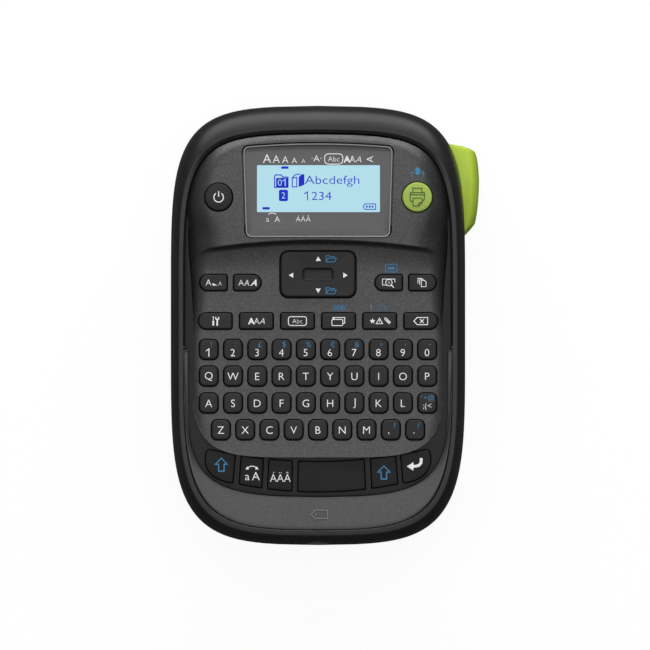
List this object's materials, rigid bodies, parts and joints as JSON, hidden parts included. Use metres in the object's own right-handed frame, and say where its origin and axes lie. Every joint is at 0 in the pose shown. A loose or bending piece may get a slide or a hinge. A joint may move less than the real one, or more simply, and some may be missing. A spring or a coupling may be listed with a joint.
{
  "type": "label maker",
  "caption": "Handheld label maker with a full keyboard, a backlit display, a side cutter lever, and a geared tape drive and cells behind a hinged rear cover.",
  "frame": {"origin": "centre of the flat back, at the middle of the casing", "axes": "+X to the right as the keyboard is read, +Y towards the display end, +Z out of the keyboard"},
  "size_m": [0.1299, 0.185, 0.055],
  "materials": {
    "shell": "satin moulded",
    "panel": "fine metallic speckle",
    "chin": "glossy metallic",
    "window": "clear with tinted mask",
    "display": "backlit display",
    "key_plastic": "satin",
    "green_plastic": "semi-gloss",
    "frame_plastic": "moulded",
    "dome_rubber": "soft",
    "circuit_board": "solder mask",
    "cell_sleeve": "printed sleeve",
    "contact_metal": "nickel plated",
    "jack": "moulded",
    "steel": "bright",
    "carriage_plastic": "moulded",
    "ceramic": "glazed",
    "platen_rubber": "ground",
    "gear_plastic": "acetal",
    "brass": "hobbed",
    "tape": "satin film",
    "cartridge": "moulded"
  },
  "bodies": {
    "casing": {"rear_case": "shell", "front_case": "shell", "face_panel": "panel", "chin_plate": "chin", "inner_frame": "frame_plastic", "case_screws": "steel", "lcd_window": "window", "lcd_module": "display", "keypad_mat": "dome_rubber", "main_board": "circuit_board", "batteries": "cell_sleeve", "battery_contacts": "contact_metal", "dc_jack": "jack", "lever_pin": "steel", "lever_spring": "steel", "fixed_blade": "steel", "drive_motor": "steel", "cartridge_case": "cartridge", "label_tape": "tape"},
    "back_cover": {"rear_cover": "shell"},
    "lever": {"cutter_lever": "green_plastic"},
    "cutter": {"blade_carriage": "carriage_plastic", "moving_blade": "steel"},
    "head": {"head_arm": "steel", "print_head": "ceramic"},
    "platen": {"platen_shaft": "steel", "platen_rubber": "platen_rubber", "platen_gear": "gear_plastic"},
    "transfer": {"transfer_gear": "gear_plastic"},
    "reduction": {"reduction_gear": "gear_plastic"},
    "pinion": {"motor_pinion": "brass"},
    "takeup": {"takeup_gear": "gear_plastic", "ribbon_takeup_spool": "gear_plastic"},
    "supply": {"ribbon_supply_spool": "gear_plastic"},
    "reel": {"tape_hub": "gear_plastic", "tape_roll": "tape"},
    "nav_rocker": {"nav_pivot": "frame_plastic"},
    "nav_plate": {"nav_pad": "key_plastic"},
    "power_key_body": {"power_key": "key_plastic"},
    "print_key_body": {"print_key": "green_plastic"},
    "text_size_key_body": {"text_size_key": "key_plastic"},
    "font_key_body": {"font_key": "key_plastic"},
    "preview_key_body": {"preview_key": "key_plastic"},
    "copies_key_body": {"copies_key": "key_plastic"},
    "setup_key_body": {"setup_key": "key_plastic"},
    "style_key_body": {"style_key": "key_plastic"},
    "frame_key_body": {"frame_key": "key_plastic"},
    "layout_key_body": {"layout_key": "key_plastic"},
    "symbol_key_body": {"symbol_key": "key_plastic"},
    "delete_key_body": {"delete_key": "key_plastic"},
    "shift_key_left_body": {"shift_key_left": "key_plastic"},
    "case_key_body": {"case_key": "key_plastic"},
    "accent_key_body": {"accent_key": "key_plastic"},
    "space_key_body": {"space_key": "key_plastic"},
    "shift_key_right_body": {"shift_key_right": "key_plastic"},
    "enter_key_body": {"enter_key": "key_plastic"},
    "number_keys_body": {"number_keys": "key_plastic"},
    "upper_letter_keys_body": {"upper_letter_keys": "key_plastic"},
    "home_letter_keys_body": {"home_letter_keys": "key_plastic"},
    "lower_letter_keys_body": {"lower_letter_keys": "key_plastic"}
  },
  "joints": [
    {"name": "cover_hinge", "type": "hinge", "parent": "casing", "child": "back_cover", "pos_m": [0, 0.079, 0.0017], "axis": [1, 0, 0], "range_deg": [0, 100]},
    {"name": "lever_turn", "type": "hinge", "parent": "casing", "child": "lever", "pos_m": [0.054, 0.036, 0.02], "axis": [0, 0, 1], "range_deg": [0, 12], "stiffness_Nm_per_rad": 0.6, "springref_deg": -2.86, "deforming": ["lever_spring"]},
    {"name": "cutter_slide", "type": "slide", "parent": "casing", "child": "cutter", "axis": [-1, 0, 0], "range_m": [0, 0.008]},
    {"name": "head_release", "type": "hinge", "parent": "casing", "child": "head", "pos_m": [0.0295, 0.044, 0.018], "axis": [0, 0, 1], "range_deg": [0, 2.4], "stiffness_Nm_per_rad": 0.4, "springref_deg": -5.73},
    {"name": "platen_spin", "type": "hinge", "parent": "casing", "child": "platen", "pos_m": [0.0368, 0.058, 0.02], "axis": [0, 0, 1], "continuous": true},
    {"name": "transfer_spin", "type": "hinge", "parent": "casing", "child": "transfer", "pos_m": [0.03812, 0.04286, 0.035], "axis": [0, 0, 1], "continuous": true},
    {"name": "reduction_spin", "type": "hinge", "parent": "casing", "child": "reduction", "pos_m": [0.04007, 0.03183, 0.037], "axis": [0, 0, 1], "continuous": true},
    {"name": "pinion_spin", "type": "hinge", "parent": "casing", "child": "pinion", "pos_m": [0.04717, 0.0166, 0.038], "axis": [0, 0, 1], "continuous": true},
    {"name": "takeup_spin", "type": "hinge", "parent": "casing", "child": "takeup", "pos_m": [0.01881, 0.03768, 0.024], "axis": [0, 0, 1], "continuous": true},
    {"name": "supply_spin", "type": "hinge", "parent": "casing", "child": "supply", "pos_m": [0.0195, 0.024, 0.017], "axis": [0, 0, 1], "continuous": true},
    {"name": "reel_spin", "type": "hinge", "parent": "casing", "child": "reel", "pos_m": [-0.012, 0.037, 0.017], "axis": [0, 0, 1], "continuous": true},
    {"name": "nav_rock_vertical", "type": "hinge", "parent": "casing", "child": "nav_rocker", "pos_m": [0, 0.0215, 0.0446], "axis": [1, 0, 0], "range_deg": [-2.5, 2.5], "stiffness_Nm_per_rad": 0.05},
    {"name": "nav_rock_sideways", "type": "hinge", "parent": "nav_rocker", "child": "nav_plate", "pos_m": [0, 0.0215, 0.0446], "axis": [0, 1, 0], "range_deg": [-2.5, 2.5], "stiffness_Nm_per_rad": 0.05},
    {"name": "power_press", "type": "slide", "parent": "casing", "child": "power_key_body", "axis": [0, 0, -1], "range_m": [0, 0.0011], "stiffness_N_per_m": 800, "springref_m": -0.0005},
    {"name": "print_press", "type": "slide", "parent": "casing", "child": "print_key_body", "axis": [0, 0, -1], "range_m": [0, 0.0011], "stiffness_N_per_m": 800, "springref_m": -0.0005},
    {"name": "text_size_press", "type": "slide", "parent": "casing", "child": "text_size_key_body", "axis": [0, 0, -1], "range_m": [0, 0.0011], "stiffness_N_per_m": 800, "springref_m": -0.0005},
    {"name": "font_press", "type": "slide", "parent": "casing", "child": "font_key_body", "axis": [0, 0, -1], "range_m": [0, 0.0011], "stiffness_N_per_m": 800, "springref_m": -0.0005},
    {"name": "preview_press", "type": "slide", "parent": "casing", "child": "preview_key_body", "axis": [0, 0, -1], "range_m": [0, 0.0011], "stiffness_N_per_m": 800, "springref_m": -0.0005},
    {"name": "copies_press", "type": "slide", "parent": "casing", "child": "copies_key_body", "axis": [0, 0, -1], "range_m": [0, 0.0011], "stiffness_N_per_m": 800, "springref_m": -0.0005},
    {"name": "setup_press", "type": "slide", "parent": "casing", "child": "setup_key_body", "axis": [0, 0, -1], "range_m": [0, 0.0011], "stiffness_N_per_m": 800, "springref_m": -0.0005},
    {"name": "style_press", "type": "slide", "parent": "casing", "child": "style_key_body", "axis": [0, 0, -1], "range_m": [0, 0.0011], "stiffness_N_per_m": 800, "springref_m": -0.0005},
    {"name": "frame_press", "type": "slide", "parent": "casing", "child": "frame_key_body", "axis": [0, 0, -1], "range_m": [0, 0.0011], "stiffness_N_per_m": 800, "springref_m": -0.0005},
    {"name": "layout_press", "type": "slide", "parent": "casing", "child": "layout_key_body", "axis": [0, 0, -1], "range_m": [0, 0.0011], "stiffness_N_per_m": 800, "springref_m": -0.0005},
    {"name": "symbol_press", "type": "slide", "parent": "casing", "child": "symbol_key_body", "axis": [0, 0, -1], "range_m": [0, 0.0011], "stiffness_N_per_m": 800, "springref_m": -0.0005},
    {"name": "delete_press", "type": "slide", "parent": "casing", "child": "delete_key_body", "axis": [0, 0, -1], "range_m": [0, 0.0011], "stiffness_N_per_m": 800, "springref_m": -0.0005},
    {"name": "shift_left_press", "type": "slide", "parent": "casing", "child": "shift_key_left_body", "axis": [0, 0, -1], "range_m": [0, 0.0011], "stiffness_N_per_m": 800, "springref_m": -0.0005},
    {"name": "case_press", "type": "slide", "parent": "casing", "child": "case_key_body", "axis": [0, 0, -1], "range_m": [0, 0.0011], "stiffness_N_per_m": 800, "springref_m": -0.0005},
    {"name": "accent_press", "type": "slide", "parent": "casing", "child": "accent_key_body", "axis": [0, 0, -1], "range_m": [0, 0.0011], "stiffness_N_per_m": 800, "springref_m": -0.0005},
    {"name": "space_press", "type": "slide", "parent": "casing", "child": "space_key_body", "axis": [0, 0, -1], "range_m": [0, 0.0011], "stiffness_N_per_m": 800, "springref_m": -0.0005},
    {"name": "shift_right_press", "type": "slide", "parent": "casing", "child": "shift_key_right_body", "axis": [0, 0, -1], "range_m": [0, 0.0011], "stiffness_N_per_m": 800, "springref_m": -0.0005},
    {"name": "enter_press", "type": "slide", "parent": "casing", "child": "enter_key_body", "axis": [0, 0, -1], "range_m": [0, 0.0011], "stiffness_N_per_m": 800, "springref_m": -0.0005},
    {"name": "number_row_press", "type": "slide", "parent": "casing", "child": "number_keys_body", "axis": [0, 0, -1], "range_m": [0, 0.0011], "stiffness_N_per_m": 2500, "springref_m": -0.0005},
    {"name": "upper_letter_row_press", "type": "slide", "parent": "casing", "child": "upper_letter_keys_body", "axis": [0, 0, -1], "range_m": [0, 0.0011], "stiffness_N_per_m": 2500, "springref_m": -0.0005},
    {"name": "home_letter_row_press", "type": "slide", "parent": "casing", "child": "home_letter_keys_body", "axis": [0, 0, -1], "range_m": [0, 0.0011], "stiffness_N_per_m": 2500, "springref_m": -0.0005},
    {"name": "lower_letter_row_press", "type": "slide", "parent": "casing", "child": "lower_letter_keys_body", "axis": [0, 0, -1], "range_m": [0, 0.0011], "stiffness_N_per_m": 2500, "springref_m": -0.0005}
  ],
  "couplings": [
    {"joint": "cutter_slide", "follows": "lever_turn", "m_per_rad": 0.038},
    {"joint": "transfer_spin", "follows": "platen_spin", "ratio": -1.375},
    {"joint": "reduction_spin", "follows": "platen_spin", "ratio": 1.8333},
    {"joint": "pinion_spin", "follows": "platen_spin", "ratio": -4.5833},
    {"joint": "takeup_spin", "follows": "platen_spin", "ratio": 0.64706},
    {"joint": "supply_spin", "follows": "platen_spin", "ratio": -0.83333},
    {"joint": "reel_spin", "follows": "platen_spin", "ratio": -0.2093}
  ]
}
